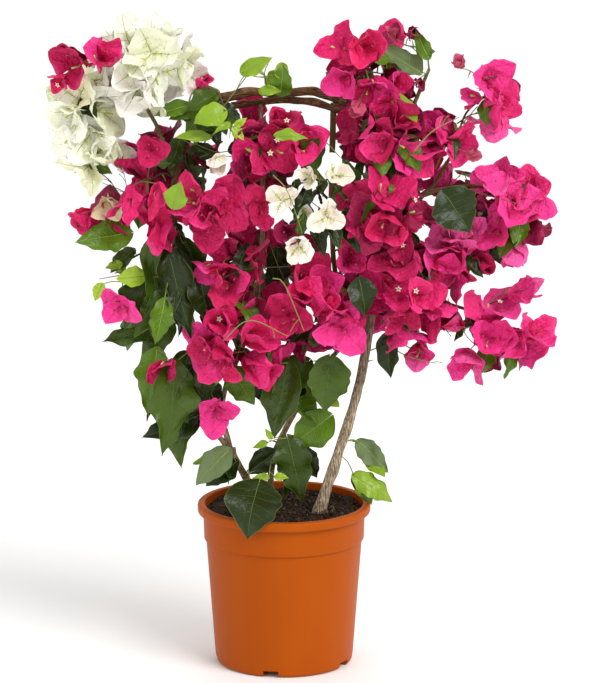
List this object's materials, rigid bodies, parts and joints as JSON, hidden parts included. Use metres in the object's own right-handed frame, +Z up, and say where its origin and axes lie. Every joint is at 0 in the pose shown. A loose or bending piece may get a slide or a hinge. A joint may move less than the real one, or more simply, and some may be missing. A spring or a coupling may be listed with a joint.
{
  "type": "potted bougainvillea bush",
  "caption": "Flowering climber with two woody crowns trained as an open fan, magenta and white bracts and dark leaves, in a round tapered nursery pot.",
  "frame": {"origin": "centre of the flat underside of the pot", "axes": "+Z up the plant, +X to the plant's right seen from the front, -Y towards the front; the fan of stems lies near the plane Y = 0"},
  "size_m": [0.4921, 0.1877, 0.6407],
  "materials": {
    "pot": "satin terracotta-orange moulded plastic",
    "soil": "dark fibrous potting compost, matt",
    "bark": "grey-brown ridged bark, green on the youngest shoots",
    "magenta": "papery magenta bracts",
    "white": "papery cream-white bracts with green veins",
    "green": "dark green satin leaves with paler midribs"
  },
  "bodies": {
    "root": {"pot": "pot", "soil": "soil", "trunk_right": "bark", "trunk_left": "bark", "trunk_middle": "bark", "left_outer_bough": "bark", "left_inner_bough": "bark", "left_upper_bough": "bark", "arch_top_stem": "bark", "arch_under_stem": "bark", "middle_upright": "bark", "white_bough": "bark", "right_top_bough": "bark", "right_middle_bough": "bark", "right_far_bough": "bark", "right_low_bough": "bark", "white_top": "white", "white_left": "white", "white_low": "white", "magenta_tip_left": "magenta", "magenta_left": "magenta", "magenta_hanging_left": "magenta", "leaves_top_left": "green", "leaves_top": "green", "leaves_column_left": "green", "twig_tip_left": "green", "leaves_point_left": "green", "leaves_drop_left": "green", "magenta_big_left": "magenta", "magenta_upper_middle": "magenta", "blush_middle": "white", "magenta_middle": "magenta", "magenta_low_left": "magenta", "magenta_low_middle": "magenta", "magenta_top_right": "magenta", "magenta_right_upper": "magenta", "magenta_right_middle": "magenta", "magenta_right_low": "magenta", "magenta_far_top": "magenta", "magenta_far_upper": "magenta", "magenta_far_right": "magenta", "magenta_middle_right": "magenta", "magenta_low_right": "magenta", "magenta_single_right": "magenta", "magenta_small_right": "magenta", "tip_top_right": "magenta", "leaves_low_middle": "green", "leaves_foot_middle": "green", "leaf_over_lip": "green", "leaves_foot_left": "green", "leaves_foot_right": "green", "back_white": "white", "back_left": "magenta", "back_middle": "magenta", "back_low_middle": "magenta", "back_top_right": "magenta", "back_right": "magenta", "back_low_right": "magenta", "back_far_right": "magenta"}
  },
  "joints": []
}
